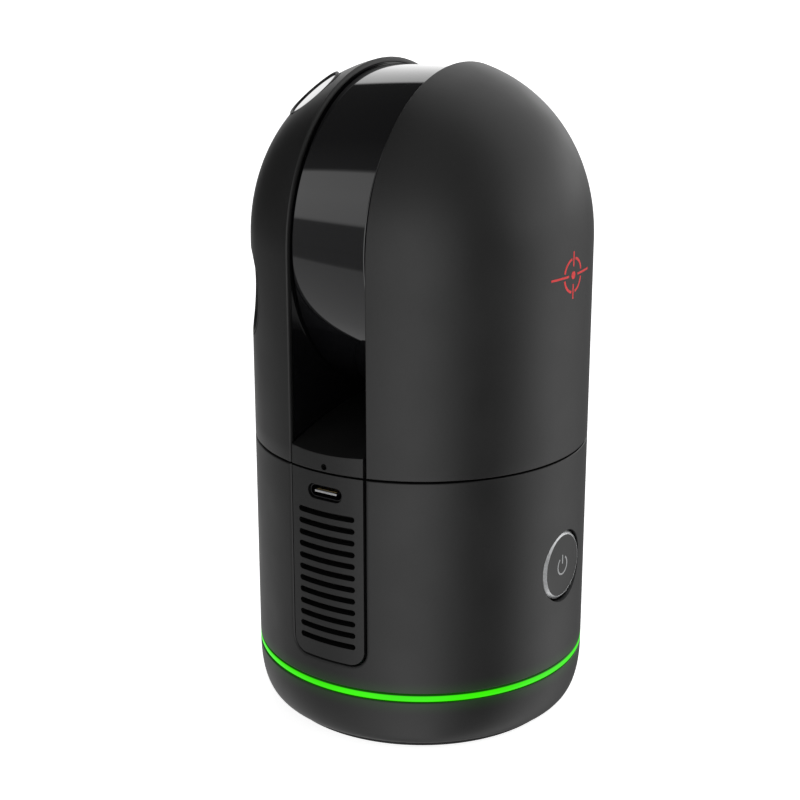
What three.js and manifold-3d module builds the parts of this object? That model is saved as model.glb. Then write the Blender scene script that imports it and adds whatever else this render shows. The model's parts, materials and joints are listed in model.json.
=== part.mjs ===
// Compact terrestrial laser scanner: a fixed base that holds the battery, the power button, the
// vent panel and the LED ring, and a turret that turns on it. The turret is two domed pods with
// a slot between them, where a mirror spins inside a dark scan window.
//
// Millimetres. The origin is the centre of the resting face and +Z is up. The slot and the vent
// panel face -Y, the power button faces +X and the cameras are on the -X pod.
import * as THREE from 'three';
import { mergeVertices } from 'three/addons/utils/BufferGeometryUtils.js';
import Module from 'manifold-3d';

const wasm = await Module();
wasm.setup();

// ---- Driving dimensions -------------------------------------------------------------------
const R = 40;                  // outer radius of the casing
const WALL = 2.2;              // casing wall
const FINE = 60;               // sides of the large round surfaces
const MEDIUM = 20;             // sides of motors, bearings and other inner rings
const SMALL = 12;              // sides of small round pieces
const GAP = 0.3;               // clearance between touching pieces

const FLOOR_Z = 1.4;           // underside of the foot, above the rubber pad's face
const RING_BOTTOM = 13.7;      // LED ring
const RING_TOP = 15.5;
const SEAM_BOTTOM = 66.7;      // top of the base
const SEAM_TOP = 67.1;         // bottom of the turret
const DOME_Z = 114;            // where the turret's straight sides end
const DOME_H = 41.85;          // height of the dome above that level, if it had no slot
const DOME_POWER = 2.1;        // superellipse exponent of the dome
const SLOT_HALF = 10.14;       // half the width of the slot and of the vent panel's opening
const EDGE = 0.6;              // chamfer along the pods' slot edges

const FOOT_FLAT_R = 35.7;      // flat underside of the foot
const FOOT_POWER = 2.23;       // superellipse exponent of the foot's corner
const DECK_BOTTOM = 64.2;      // deck that closes the top of the base
const DECK_HOLE_R = 13;

const MIRROR_Z = 115.6;        // axis of the spinning mirror, along X
const WINDOW_R = 37.6;         // scan window, a drum about that axis
const WINDOW_HALF = 9.7;
const WINDOW_WALL = 1.5;
const WINDOW_SIDES = 64;

const LIP_Z = 71.4;            // slot floor: height at the front and back edges, and in the middle
const CREST_Z = 77.4;
const FLOOR_POWER = 2.3;       // how late the floor's arch falls away from its crest
const TURNTABLE = [67.4, 69.6];

const PANEL_BOTTOM = 21;       // vent panel and its slots
const VENT_COUNT = 12;
const VENT_TOP = 57;
const VENT_PITCH = 2.824;
const VENT_HALF = 7.7;
const VENT_HEIGHT = 1.4;
const USB_Z = 62.1;

const BUTTON_Z = 40;           // power button, on the +X side
const BUTTON_HOLE_R = 8.7;
const BUTTON_R = 8.2;
const BUTTON_FACE = 39.5;      // distance of the button's face from the scanner's axis
const BUTTON_BEVEL = 0.65;

const CAMERA_LOW_Z = 102.3;    // dished camera: height and turn from -X
const CAMERA_LOW_TURN = 40;
const CAMERA_HIGH_R = 24.5;    // flush camera: distance from the axis, turn from -X, tilt
const CAMERA_HIGH_Z = 146.9;
const CAMERA_HIGH_TURN = 35;
const CAMERA_HIGH_TILT = 50;

const BALL_COUNT = 9;
const BATTERY = { halfX: 16, y0: 12, y1: 26, z0: 4.4, z1: 37 };
const FAN_Z = 41;

// ---- Geometry helpers ---------------------------------------------------------------------
const V = (x, y, z) => new THREE.Vector3(x, y, z);
const radians = THREE.MathUtils.degToRad;

// A closed geometry as a solid. Its vertices are welded and its faces are made to point out.
function solid(geometry) {
  const bare = geometry.clone();
  bare.deleteAttribute('normal');
  bare.deleteAttribute('uv');
  const welded = mergeVertices(bare, 1e-4);
  const index = Array.from(welded.index.array);
  const points = welded.attributes.position.array;
  const faces = [];
  let volume = 0;
  for (let i = 0; i < index.length; i += 3) {
    const [a, b, c] = index.slice(i, i + 3);
    if (a === b || b === c || c === a) continue;
    faces.push([a, b, c]);
    const [p, q, r] = [a, b, c].map((k) => V(points[3 * k], points[3 * k + 1], points[3 * k + 2]));
    volume += p.dot(q.cross(r));
  }
  if (volume < 0) faces.forEach((face) => face.reverse());
  return new wasm.Manifold(new wasm.Mesh({
    numProp: 3,
    vertProperties: new Float32Array(points),
    triVerts: new Uint32Array(faces.flat()),
  }));
}

// The solid's triangles as a three.js geometry.
function geometryOf(body) {
  const mesh = body.getMesh();
  const geometry = new THREE.BufferGeometry();
  geometry.setAttribute('position', new THREE.BufferAttribute(new Float32Array(mesh.vertProperties), 3));
  geometry.setIndex(Array.from(mesh.triVerts));
  geometry.computeVertexNormals();
  return geometry;
}

const join = (...bodies) => bodies.reduce((sum, body) => sum.add(body));
const cut = (body, ...tools) => tools.reduce((rest, tool) => rest.subtract(tool), body);
const points2 = (pairs) => pairs.map(([x, y]) => new THREE.Vector2(x, y));

// Ways to turn a geometry that was made about or along Z.
const UP = new THREE.Matrix4();
const ALONG_X = new THREE.Matrix4().makeRotationY(Math.PI / 2);
const ALONG_Y = new THREE.Matrix4().makeRotationX(-Math.PI / 2);
const OUTLINE_XZ = new THREE.Matrix4().makeRotationX(Math.PI / 2);
const OUTLINE_YZ = new THREE.Matrix4().makeBasis(V(0, 1, 0), V(0, 0, 1), V(1, 0, 0));

// Revolves [radius, height] pairs about Z, then turns and moves the result.
function lathe(pairs, sides, turn = UP, place = [0, 0, 0]) {
  const geometry = new THREE.LatheGeometry(points2(pairs), sides);
  geometry.rotateX(Math.PI / 2);
  geometry.applyMatrix4(turn);
  geometry.translate(...place);
  return solid(geometry);
}

const closed = (pairs) => [...pairs, pairs[0]];
const rod = (r, low, high, sides = SMALL, turn = UP, place = [0, 0, 0]) =>
  lathe([[0, low], [r, low], [r, high], [0, high]], sides, turn, place);
const ring = (inner, outer, low, high, sides = MEDIUM, turn = UP, place = [0, 0, 0]) =>
  lathe(closed([[inner, low], [outer, low], [outer, high], [inner, high]]), sides, turn, place);

function box([x0, x1], [y0, y1], [z0, z1]) {
  const geometry = new THREE.BoxGeometry(x1 - x0, y1 - y0, z1 - z0);
  geometry.translate((x0 + x1) / 2, (y0 + y1) / 2, (z0 + z1) / 2);
  return solid(geometry);
}

// Extrudes an outline drawn in the XZ plane from y0 towards -Y.
function extrudeXZ(shape, y0, depth, curveSegments = 6) {
  const geometry = new THREE.ExtrudeGeometry(shape, { depth, bevelEnabled: false, curveSegments });
  geometry.applyMatrix4(OUTLINE_XZ);
  geometry.translate(0, y0, 0);
  return solid(geometry);
}

// Extrudes an outline of [y, z] pairs from x0 to x1.
function extrudeYZ(pairs, x0, x1) {
  const shape = new THREE.Shape(points2(pairs));
  const geometry = new THREE.ExtrudeGeometry(shape, { depth: x1 - x0, bevelEnabled: false });
  geometry.applyMatrix4(OUTLINE_YZ);
  geometry.translate(x0, 0, 0);
  return solid(geometry);
}

// A slot with round ends, centred at (x, z) in the XZ plane.
function roundSlot(x, z, width, height) {
  const r = height / 2;
  const reach = width / 2 - r;
  const path = new THREE.Shape();
  path.absarc(x + reach, z, r, -Math.PI / 2, Math.PI / 2);
  path.absarc(x - reach, z, r, Math.PI / 2, 1.5 * Math.PI);
  return path;
}

// A rectangle in the XZ plane whose two lower corners are round.
function panelShape(half, bottom, top, radius) {
  const shape = new THREE.Shape();
  shape.moveTo(half, top);
  shape.lineTo(-half, top);
  shape.lineTo(-half, bottom + radius);
  shape.absarc(-half + radius, bottom + radius, radius, Math.PI, 1.5 * Math.PI);
  shape.absarc(half - radius, bottom + radius, radius, 1.5 * Math.PI, 2 * Math.PI);
  return shape;
}

// Points of a quarter superellipse, from [width, 0] to [0, height].
function quarter(width, height, power, steps) {
  return Array.from({ length: steps + 1 }, (_, i) => {
    const angle = (Math.PI / 2) * (i / steps);
    const across = i === steps ? 0 : Math.cos(angle) ** (2 / power);
    return [width * across, height * Math.sin(angle) ** (2 / power)];
  });
}

// ---- The scene ----------------------------------------------------------------------------
const scanner = new THREE.Group();
const base = new THREE.Group();
const turret = new THREE.Group();
scanner.add(base, turret);

const finish = (color, roughness, metalness = 0) => ({ color, roughness, metalness });
const CASING = finish(0x2b2c2d, 0.55);
const GLOSS = finish(0x050506, 0.08);
const BLACK = finish(0x101112, 0.6);
const RUBBER = finish(0x161616, 0.9);
const STEEL = finish(0x9a9da0, 0.3, 1);
const ALUMINIUM = finish(0xb4b7ba, 0.4, 1);
const BRASS = finish(0xb08d4a, 0.35, 1);
const COPPER = finish(0x9c5a34, 0.4, 1);
const BOARD = finish(0x12402c, 0.6);
const LIGHT = finish(0x39ff00, 0.4);
const LENS = finish(0x08090c, 0.05);
const MIRROR = finish(0xe8eaee, 0.03, 1);
const CELL = finish(0x30343c, 0.5);

function piece(group, name, body, look) {
  const mesh = new THREE.Mesh(geometryOf(body), new THREE.MeshStandardMaterial(look));
  mesh.name = name;
  group.add(mesh);
  return mesh;
}

// ---- Foot, rubber pad, tripod thread and LED ring -------------------------------------------
const PAD_R = [33, 35.2];
const PAD_TOP = 2.1;
const INSERT_R = 6.3;
const COLLAR_R = [35, 37.1];   // spigot that the LED ring and the base shell sit round
const COLLAR_TOP = 19;

const DOOR = { halfX: 16.6, y0: 11.4, y1: 26.6, z0: 1.5, z1: 3.1 };

function footShell() {
  const corner = quarter(R - FOOT_FLAT_R, RING_BOTTOM - FLOOR_Z, FOOT_POWER, 6);
  const outside = corner.map(([across, drop]) => [FOOT_FLAT_R + across, RING_BOTTOM - drop]).reverse();
  outside[outside.length - 1][1] = RING_BOTTOM - 0.2;
  const profile = [
    [INSERT_R + GAP, FLOOR_Z],
    [PAD_R[0] - GAP, FLOOR_Z],
    [PAD_R[0] - GAP, PAD_TOP + GAP],
    [PAD_R[1] + 0.2, PAD_TOP + GAP],
    [PAD_R[1] + 0.2, FLOOR_Z],
    ...outside,
    [COLLAR_R[1], RING_BOTTOM - 0.2],
    [COLLAR_R[1], COLLAR_TOP],
    [COLLAR_R[0], COLLAR_TOP],
    [COLLAR_R[0], 7],
    [33.4, 3.6],
    [INSERT_R + 2.5, 3.6],
    [INSERT_R + 2.5, 9],
    [INSERT_R + GAP, 9],
  ];
  const doorway = box([-DOOR.halfX - GAP, DOOR.halfX + GAP], [DOOR.y0 - GAP, DOOR.y1 + 0.8], [0, 8]);
  return cut(lathe(closed(profile), FINE), doorway);
}

piece(base, 'foot_shell', footShell(), CASING);
piece(base, 'foot_pad', ring(PAD_R[0], PAD_R[1], 0, PAD_TOP, FINE), RUBBER);
piece(base, 'led_ring', ring(COLLAR_R[1] + GAP, R, RING_BOTTOM, RING_TOP, FINE), LIGHT);

// A flanged brass bush for a tripod screw, open at both ends.
const insertProfile = [[3.2, 1.6], [INSERT_R, 1.6], [INSERT_R, 9.6], [8, 9.6], [8, 10.8], [3.2, 10.8]];
piece(base, 'tripod_insert', lathe(closed(insertProfile), SMALL), BRASS);

function ledBoard() {
  const board = ring(34.9, 37.2, 20.4, 21.4, FINE);
  const leds = Array.from({ length: 8 }, (_, i) => {
    const angle = radians(22.5 + 45 * i);
    return rod(0.9, 19.4, 20.6, 6, UP, [36.1 * Math.cos(angle), 36.1 * Math.sin(angle), 0]);
  });
  return join(board, ...leds);
}
piece(base, 'led_board', ledBoard(), BOARD);

// ---- Battery, its bay and its door ----------------------------------------------------------
function batteryBay() {
  const b = BATTERY;
  const outer = box([-b.halfX - 1.5, b.halfX + 1.5], [b.y0 - 1.5, b.y1 + 1.5], [3.9, b.z1 + 2.6]);
  const inner = box([-b.halfX - GAP, b.halfX + GAP], [b.y0 - GAP, b.y1 + GAP], [0, b.z1 + 1.2]);
  const contactHole = box([-6.3, 6.3], [15.7, 22.3], [b.z1, b.z1 + 4]);
  return cut(outer, inner, contactHole);
}
piece(base, 'battery_bay', batteryBay(), BLACK);
piece(base, 'battery', box([-BATTERY.halfX, BATTERY.halfX], [BATTERY.y0, BATTERY.y1],
  [BATTERY.z0, BATTERY.z1]), CELL);
const contactPins = [-4, 0, 4].map((x) => box([x - 0.7, x + 0.7], [18, 20], [BATTERY.z1 + GAP, BATTERY.z1 + 2]));
piece(base, 'battery_contacts', join(box([-6, 6], [16, 22], [BATTERY.z1 + 1.5, BATTERY.z1 + 3.4]),
  ...contactPins), BRASS);

function batteryDoor() {
  const plate = box([-DOOR.halfX, DOOR.halfX], [DOOR.y0, DOOR.y1], [DOOR.z0, DOOR.z1]);
  const grip = rod(2.6, DOOR.z0 - 1, DOOR.z0 + 0.7, SMALL, UP, [0, DOOR.y0 + 4.6, 0]);
  return cut(plate, grip);
}
piece(base, 'battery_door', batteryDoor(), CASING);

// ---- Base shell ---------------------------------------------------------------------------
const SHELL_BOTTOM = RING_TOP + 0.2;
const SHELL_INNER = R - WALL - 0.2;

function baseShell() {
  const profile = [
    [SHELL_INNER, SHELL_BOTTOM],
    [R, SHELL_BOTTOM],
    [R, SEAM_BOTTOM - 0.35],
    [R - 0.35, SEAM_BOTTOM],
    [DECK_HOLE_R, SEAM_BOTTOM],
    [DECK_HOLE_R, DECK_BOTTOM],
    [SHELL_INNER, DECK_BOTTOM],
  ];
  const sleeve = ring(BUTTON_HOLE_R - 0.5, BUTTON_HOLE_R + 1.4, 33, 38.5, MEDIUM, ALONG_X, [0, 0, BUTTON_Z]);
  const hole = rod(BUTTON_HOLE_R, 30, R + 2, MEDIUM, ALONG_X, [0, 0, BUTTON_Z]);
  const opening = extrudeXZ(panelShape(SLOT_HALF, PANEL_BOTTOM, SEAM_BOTTOM + 2, 4), -30, 12)
    .intersect(ring(SHELL_INNER, R + 2, PANEL_BOTTOM - 2, SEAM_BOTTOM + 3, FINE));
  return cut(join(lathe(closed(profile), FINE), sleeve), hole, opening);
}
piece(base, 'base_shell', baseShell(), CASING);

// ---- Vent panel, filter and USB socket ------------------------------------------------------
const PANEL_HALF = SLOT_HALF - 0.4;

function ventPanel() {
  const shape = panelShape(PANEL_HALF, PANEL_BOTTOM + 0.4, SEAM_BOTTOM, 3.6);
  for (let i = 0; i < VENT_COUNT; i += 1) {
    shape.holes.push(roundSlot(0, VENT_TOP - i * VENT_PITCH, 2 * VENT_HALF, VENT_HEIGHT));
  }
  shape.holes.push(roundSlot(0, USB_Z, 9.4, 3.6));
  return extrudeXZ(shape, -30, 12, 3).intersect(ring(SHELL_INNER + GAP, R, 15, 70, FINE));
}
piece(base, 'vent_panel', ventPanel(), CASING);

const filterBlock = box([-9.5, 9.5], [-40, -30], [23, 59.5]);
piece(base, 'dust_filter', ring(SHELL_INNER - 1.1, SHELL_INNER - GAP, 20, 62, FINE).intersect(filterBlock), BLACK);

function usbPort() {
  const outside = extrudeXZ(roundSlot(0, USB_Z, 8.94, 3.16), -32, 7.2);
  const inside = extrudeXZ(roundSlot(0, USB_Z, 8.34, 2.56), -33, 8);
  const tongue = box([-3, 3], [-38.9, -32.8], [USB_Z - 0.3, USB_Z + 0.3]);
  return join(cut(outside, inside), tongue);
}
piece(base, 'usb_c_port', usbPort(), STEEL);

// ---- Power button -------------------------------------------------------------------------
const buttonProfile = [
  [0, 31.7],
  [9.3, 31.7],
  [9.3, 32.6],
  [BUTTON_R, 32.6],
  [BUTTON_R, BUTTON_FACE - BUTTON_BEVEL],
  [BUTTON_R - BUTTON_BEVEL, BUTTON_FACE],
  [0, BUTTON_FACE],
];
piece(base, 'power_button', lathe(buttonProfile, MEDIUM, ALONG_X, [0, 0, BUTTON_Z]), CASING);

// A small board with the switch that the button presses.
const buttonBoard = box([27.6, 28.8], [-7, 7], [BUTTON_Z - 7, BUTTON_Z + 7]);
const switchBody = box([28.6, 30.2], [-3, 3], [BUTTON_Z - 3, BUTTON_Z + 3]);
const plunger = rod(1.6, 30, 30.8, SMALL, ALONG_X, [0, 0, BUTTON_Z]);
piece(base, 'button_board', join(buttonBoard, switchBody, plunger), BOARD);

// ---- Heat sink, fan and main board ----------------------------------------------------------
function heatSink() {
  const fins = Array.from({ length: 7 }, (_, i) => {
    const x = -9.6 + 3.2 * i;
    return box([x - 0.5, x + 0.5], [-34, -26.5], [29, 53]);
  });
  return join(box([-10.5, 10.5], [-27, -25.4], [29, 53]), ...fins);
}
piece(base, 'heat_sink', heatSink(), ALUMINIUM);

function fanFrame() {
  const place = [0, 0, FAN_Z];
  const block = cut(box([-12, 12], [-25, -18.6], [FAN_Z - 12, FAN_Z + 12]),
    rod(11.3, -26, -18, MEDIUM, ALONG_Y, place));
  const struts = [0, 60, 120].map((turn) => {
    const bar = new THREE.BoxGeometry(23.4, 0.8, 1.4);
    bar.rotateY(radians(turn));
    bar.translate(0, -19, FAN_Z);
    return solid(bar);
  });
  return join(block, rod(4, -19.4, -18.6, MEDIUM, ALONG_Y, place), ...struts);
}
piece(base, 'fan_frame', fanFrame(), BLACK);

function fanRotor() {
  const place = [0, 0, FAN_Z];
  const blades = Array.from({ length: 7 }, (_, i) => {
    const blade = new THREE.BoxGeometry(7.4, 0.8, 4.2);
    blade.rotateX(radians(38));
    blade.translate(7.1, 0, 0);
    blade.rotateY((i * 2 * Math.PI) / 7);
    blade.translate(0, -22.2, FAN_Z);
    return solid(blade);
  });
  return join(rod(4.2, -24.4, -20, MEDIUM, ALONG_Y, place), ...blades);
}
piece(base, 'fan_rotor', fanRotor(), BLACK);

function mainBoard() {
  const board = box([-28, -26.4], [-16, 16], [22, 60]);
  const chips = [[0, 44, 7, 1.6], [-10, 30, 3.5, 1.2], [8, 28, 4.5, 1.2], [11, 55, 3, 1.2]];
  return join(board, ...chips.map(([y, z, half, height]) =>
    box([-26.6, -26.4 + height], [y - half, y + half], [z - half, z + half])));
}
piece(base, 'main_board', mainBoard(), BOARD);

// ---- Azimuth drive: housing, bearing, motor, encoder and slip ring --------------------------
const motorHousing = [
  [10, 42.3], [17, 42.3], [17, DECK_BOTTOM - GAP], [15.9, DECK_BOTTOM - GAP], [15.9, 57.2],
  [13.4, 57.2], [13.4, 56.3], [15.9, 56.3], [15.9, 43.5], [10, 43.5],
];
piece(base, 'motor_housing', lathe(closed(motorHousing), MEDIUM), ALUMINIUM);
piece(base, 'azimuth_bearing_outer', ring(13.2, 15.6, 57.5, 63.6), STEEL);

// An iron ring with teeth that point at the magnet: toothCount teeth from tip radius to yoke.
function stator(tip, yoke, outer, low, high, toothCount, turn = UP, place = [0, 0, 0]) {
  const teeth = Array.from({ length: toothCount }, (_, i) => {
    const tooth = new THREE.BoxGeometry(yoke - tip + 0.5, 2.2, high - low);
    tooth.translate((yoke + tip + 0.5) / 2, 0, (low + high) / 2);
    tooth.rotateZ((i * 2 * Math.PI) / toothCount);
    tooth.applyMatrix4(turn);
    tooth.translate(...place);
    return solid(tooth);
  });
  return join(ring(yoke, outer, low, high, MEDIUM, turn, place), ...teeth);
}
piece(base, 'azimuth_motor_stator', stator(9.9, 13.4, 15.6, 44, 51, 9), COPPER);

const readerSlot = box([9, 14.7], [-4, 4], [53.7, 55.2]);
piece(base, 'encoder_reader', cut(box([9.6, 15.3], [-3, 3], [52, 56]), readerSlot), BLACK);

const slipHousing = [[0, 27], [9.6, 27], [9.6, 40.8], [14, 40.8], [14, 42], [5.2, 42], [5.2, 28.6], [0, 28.6]];
piece(base, 'slip_ring_housing', lathe(slipHousing, MEDIUM), BLACK);

// ---- Turret: turntable and shaft ------------------------------------------------------------
piece(turret, 'turntable', ring(8.4, 37.2, ...TURNTABLE), ALUMINIUM);
const shaftProfile = [
  [5, 43.9], [8, 43.9], [8, 69.9], [14, 69.9], [14, 71.4], [7.6, 71.4], [7.6, 73.6], [5, 73.6],
];
piece(turret, 'azimuth_shaft', lathe(closed(shaftProfile), MEDIUM), STEEL);

// A slotted ring nut that clamps the shaft's flange to the turntable.
const nutSlots = [0, 90].map((turn) => {
  const slot = new THREE.BoxGeometry(30, 2, 2);
  slot.rotateZ(radians(turn));
  slot.translate(0, 0, 74);
  return solid(slot);
});
piece(turret, 'hub_ring_nut', cut(ring(7.9, 12.5, 71.7, 74), ...nutSlots), STEEL);
piece(turret, 'azimuth_bearing_inner', ring(8.3, 10.4, 57.5, 63.6), STEEL);

// Balls held by their cage.
function ballCage() {
  const balls = Array.from({ length: BALL_COUNT }, (_, i) => {
    const ball = new THREE.SphereGeometry(1.3, 6, 4);
    const angle = (i * 2 * Math.PI) / BALL_COUNT;
    ball.translate(11.8 * Math.cos(angle), 11.8 * Math.sin(angle), 60.5);
    return solid(ball);
  });
  return join(ring(11.4, 12.2, 60.1, 60.9), ...balls);
}
piece(turret, 'azimuth_bearing_balls', ballCage(), STEEL);
piece(turret, 'azimuth_motor_magnet', ring(8.3, 9.5, 44.3, 50.7), STEEL);
piece(turret, 'encoder_disc', ring(8.3, 14.4, 54.2, 54.7), GLOSS);
piece(turret, 'slip_ring_rotor', rod(4.6, 29.4, 52, SMALL), BRASS);

// ---- Turret: pods ---------------------------------------------------------------------------
// A solid of revolution of the casing's outer form, shrunk by inset.
function casingSolid(inset, bottom, sides, steps) {
  const dome = quarter(R - inset, DOME_H - inset, DOME_POWER, steps)
    .map(([across, rise]) => [across, DOME_Z + rise]);
  return lathe([[0, bottom], [R - inset, bottom], ...dome], sides);
}

// The outline that the casing leaves in the plane of the slot's wall, shrunk by inset, as [y, z]
// pairs from the front foot to the back foot.
function wallOutline(inset, bottom) {
  const reach = Math.sqrt((R - inset) ** 2 - SLOT_HALF ** 2);
  const slope = (y) => Math.hypot(y, SLOT_HALF) / (R - inset);
  const steps = 24;
  const arch = Array.from({ length: steps + 1 }, (_, i) => {
    const y = reach * Math.cos((Math.PI * i) / steps);
    const rise = Math.max(0, 1 - slope(y) ** DOME_POWER) ** (1 / DOME_POWER);
    return [y, DOME_Z + (DOME_H - inset) * rise];
  });
  return [[-reach, bottom], [reach, bottom], ...arch];
}

const LINER_INSET = 1.1;       // width of the casing's own face beside the glossy liner
const LINER_THICK = 0.5;
const LINER_RECESS = 0.8;
const wallPlane = SLOT_HALF;
const hubRoom = join(rod(37.6, 60, TURNTABLE[1] + GAP, MEDIUM * 2), rod(14.8, 60, 74.6, MEDIUM));

// The bevelled outline that takes the edge off a pod where its face meets the slot.
function edgeTool() {
  const shape = new THREE.Shape(points2(wallOutline(EDGE, SEAM_TOP - 4)));
  const geometry = new THREE.ExtrudeGeometry(shape, {
    depth: 40, bevelEnabled: true, bevelThickness: EDGE, bevelSize: EDGE, bevelSegments: 1,
  });
  geometry.applyMatrix4(OUTLINE_YZ);
  geometry.translate(wallPlane + EDGE, 0, 0);
  return solid(geometry);
}

const mirrorSide = (body) => body.mirror([1, 0, 0]);
const outerForm = casingSolid(0, SEAM_TOP, FINE, 12);
const innerForm = casingSolid(WALL, SEAM_TOP - 5, FINE / 2, 7);

// The pod on the +X side, before its holes: a dome with a wall of its own beside the slot.
function podBlank() {
  const half = outerForm.intersect(box([wallPlane, 60], [-60, 60], [0, 200])).intersect(edgeTool());
  const room = innerForm.intersect(box([wallPlane + 2.4, 60], [-60, 60], [0, 200]));
  const recess = extrudeYZ(wallOutline(LINER_INSET, SEAM_TOP - 4), wallPlane - 1, wallPlane + LINER_RECESS);
  return cut(half, room, recess, hubRoom);
}
const pod = podBlank();

// The glossy black sheet on a pod's wall.
function slotLiner(holeR) {
  const sheet = extrudeYZ(wallOutline(LINER_INSET + 0.2, SEAM_TOP + 0.1), wallPlane, wallPlane + LINER_THICK);
  return cut(sheet, rod(holeR, 0, 30, MEDIUM, ALONG_X, [0, 0, MIRROR_Z]), hubRoom);
}

// ---- Turret: cameras ------------------------------------------------------------------------
// Each camera looks along its own axis out of the -X pod. front is -1 for the pair on the slot's
// front side and 1 for the pair behind.
function cameraMatrix(turn, tilt, centre) {
  const out = V(-Math.cos(turn) * Math.cos(tilt), Math.sin(turn) * Math.cos(tilt), Math.sin(tilt));
  const side = V(0, 0, 1).cross(out).normalize();
  return new THREE.Matrix4().makeBasis(side, out.clone().cross(side), out).setPosition(centre);
}

const cameras = [];
for (const [end, front] of [['front', -1], ['rear', 1]]) {
  const low = radians(CAMERA_LOW_TURN) * front;
  const high = radians(CAMERA_HIGH_TURN) * front;
  cameras.push({
    name: `lower_${end}`,
    matrix: cameraMatrix(low, 0, V(-R * Math.cos(low), R * Math.sin(low), CAMERA_LOW_Z)),
    holeR: 10.7,
    bezel: [[6.4, -4.6], [10.4, -4.6], [10.4, 3], [10.3, 3], [6.4, -3.6]],
    glass: [6.1, -4.9, -3.9],
    barrel: [5.4, -15, -5.2],
  }, {
    name: `upper_${end}`,
    matrix: cameraMatrix(high, radians(CAMERA_HIGH_TILT),
      V(-CAMERA_HIGH_R * Math.cos(high), CAMERA_HIGH_R * Math.sin(high), CAMERA_HIGH_Z)),
    holeR: 7.55,
    bezel: [[6.7, -2.4], [7.25, -2.4], [7.25, -0.5], [6.7, -0.5]],
    glass: [6.4, -1.6, -0.55],
    barrel: [3.8, -7.4, -1.9],
  });
}

const cameraHoles = cameras.map(({ matrix, holeR }) => rod(holeR, -8, 8, MEDIUM, matrix));
const shaftHole = rod(6.4, 0, 20, MEDIUM, ALONG_X, [0, 0, MIRROR_Z]);
const laserHole = rod(7.4, -20, 0, MEDIUM, ALONG_X, [0, 0, MIRROR_Z]);

piece(turret, 'right_pod_shell', cut(pod, shaftHole), CASING);
piece(turret, 'left_pod_shell', cut(mirrorSide(pod), laserHole, ...cameraHoles), CASING);
piece(turret, 'right_slot_liner', slotLiner(6.4), GLOSS);
piece(turret, 'left_slot_liner', mirrorSide(slotLiner(7.4)), GLOSS);

for (const camera of cameras) {
  const [glassR, glassLow, glassHigh] = camera.glass;
  const [barrelR, barrelLow, barrelHigh] = camera.barrel;
  const bezel = lathe(closed(camera.bezel), MEDIUM, camera.matrix).intersect(outerForm);
  piece(turret, `camera_bezel_${camera.name}`, bezel, CASING);
  piece(turret, `camera_glass_${camera.name}`, rod(glassR, glassLow, glassHigh, MEDIUM, camera.matrix), LENS);
  piece(turret, `camera_module_${camera.name}`, rod(barrelR, barrelLow, barrelHigh, SMALL, camera.matrix), BLACK);
}

// ---- Turret: slot floor and scan window -------------------------------------------------------
// The floor is an arch from the front lip to the back lip, with a lip that follows the casing.
function slotFloor() {
  const half = Math.sqrt(R ** 2 - (SLOT_HALF - 0.4) ** 2);
  const arch = (thickness) => Array.from({ length: 17 }, (_, i) => {
    const y = half * (1 - i / 8);
    return [y * 1.02, CREST_Z - thickness - (CREST_Z - LIP_Z) * Math.abs(y / half) ** FLOOR_POWER];
  });
  const width = [-SLOT_HALF + 0.4, SLOT_HALF - 0.4];
  const block = extrudeYZ([[-half * 1.02, SEAM_TOP], [half * 1.02, SEAM_TOP], ...arch(0)], ...width);
  const room = extrudeYZ([[-half * 1.02, 60], [half * 1.02, 60], ...arch(WALL)], -30, 30)
    .intersect(rod(R - WALL, 50, 90, FINE));
  const pinhole = rod(0.65, -50, -30, 16, ALONG_Y, [0, 0, 68.3]);
  return cut(block.intersect(outerForm), room, hubRoom, pinhole);
}
piece(turret, 'slot_floor', slotFloor(), CASING);

// The window is a drum, open at both ends, where the pods close it.
piece(turret, 'scan_window', ring(WINDOW_R - WINDOW_WALL, WINDOW_R, -WINDOW_HALF, WINDOW_HALF, WINDOW_SIDES,
  ALONG_X, [0, 0, MIRROR_Z]), GLOSS);

// ---- Turret: laser, mirror drive and head board ------------------------------------------------
const atMirror = [0, 0, MIRROR_Z];
const laserBody = box([-30, -14], [-8, 8], [MIRROR_Z - 15, MIRROR_Z + 15]);
const laserBarrel = ring(5.6, 7, -14.5, -10.9, MEDIUM, ALONG_X, atMirror);
piece(turret, 'laser_rangefinder', join(laserBody, laserBarrel), BLACK);
piece(turret, 'laser_lens', rod(5.3, -12.8, -11.2, MEDIUM, ALONG_X, atMirror), LENS);

const bracket = [[14, 12.9], [16, 12.9], [16, 26], [6.4, 26], [6.4, 24.6], [14, 24.6]];
piece(turret, 'mirror_motor_bracket', lathe(closed(bracket), MEDIUM, ALONG_X, atMirror), ALUMINIUM);
piece(turret, 'mirror_motor_stator', stator(8.8, 11.5, 13.6, 15, 21, 9, ALONG_X, atMirror), COPPER);
piece(turret, 'mirror_bearing_inner', ring(3.1, 6, 10.6, 13.4, MEDIUM, ALONG_X, atMirror), STEEL);
piece(turret, 'mirror_bearing_outer', ring(3.1, 6, 23.6, 26.4, MEDIUM, ALONG_X, atMirror), STEEL);

function headBoard() {
  const board = box([29.4, 30.8], [-17, 17], [78, 122]);
  const chips = [[0, 88, 6], [-9, 104, 3.5], [9, 106, 4]];
  return join(board, ...chips.map(([y, z, half]) => box([28.2, 29.6], [y - half, y + half], [z - half, z + half])));
}
piece(turret, 'head_board', headBoard(), BOARD);

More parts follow.
